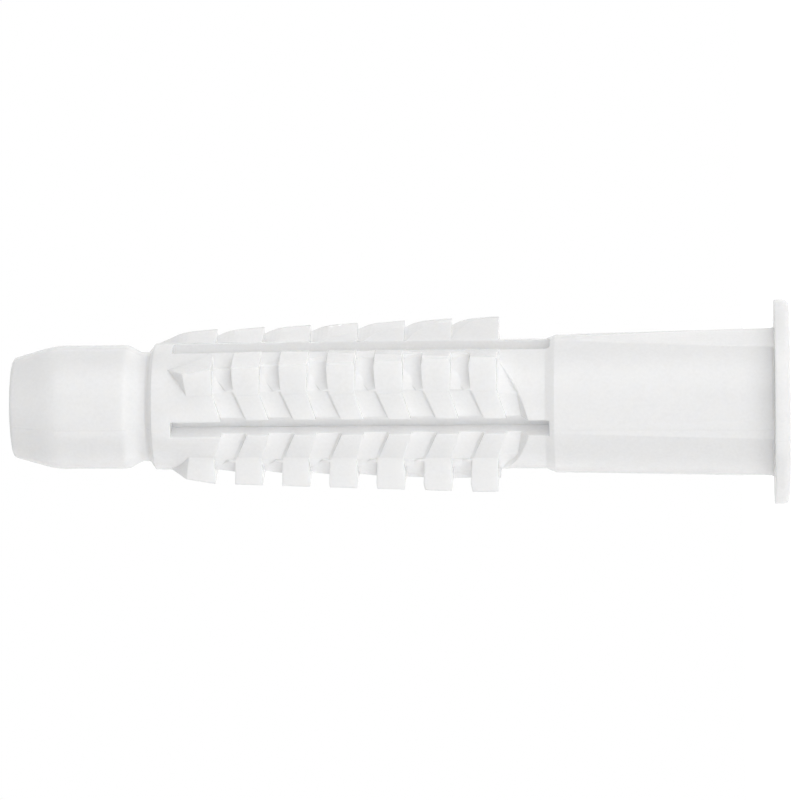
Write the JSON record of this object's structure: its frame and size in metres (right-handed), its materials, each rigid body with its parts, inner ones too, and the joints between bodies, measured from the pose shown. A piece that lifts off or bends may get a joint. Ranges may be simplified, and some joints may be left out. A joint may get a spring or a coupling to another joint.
{
  "type": "universal wall plug",
  "caption": "One-piece plastic wall plug with a flange, a sleeve, four slotted shells with anti-turn ears and teeth, a necked nose and a screw bore.",
  "frame": {"origin": "centre of the flat outer face of the flange, on the plug's axis", "axes": "+Z along the axis from the flange to the nose, -Y through the middle of one of the two slots between toothed shells"},
  "size_m": [0.0158, 0.0158, 0.06],
  "materials": {
    "nylon": "semi-matte moulded nylon, off-white"
  },
  "bodies": {
    "root": {"wall_plug": "nylon"}
  },
  "joints": []
}
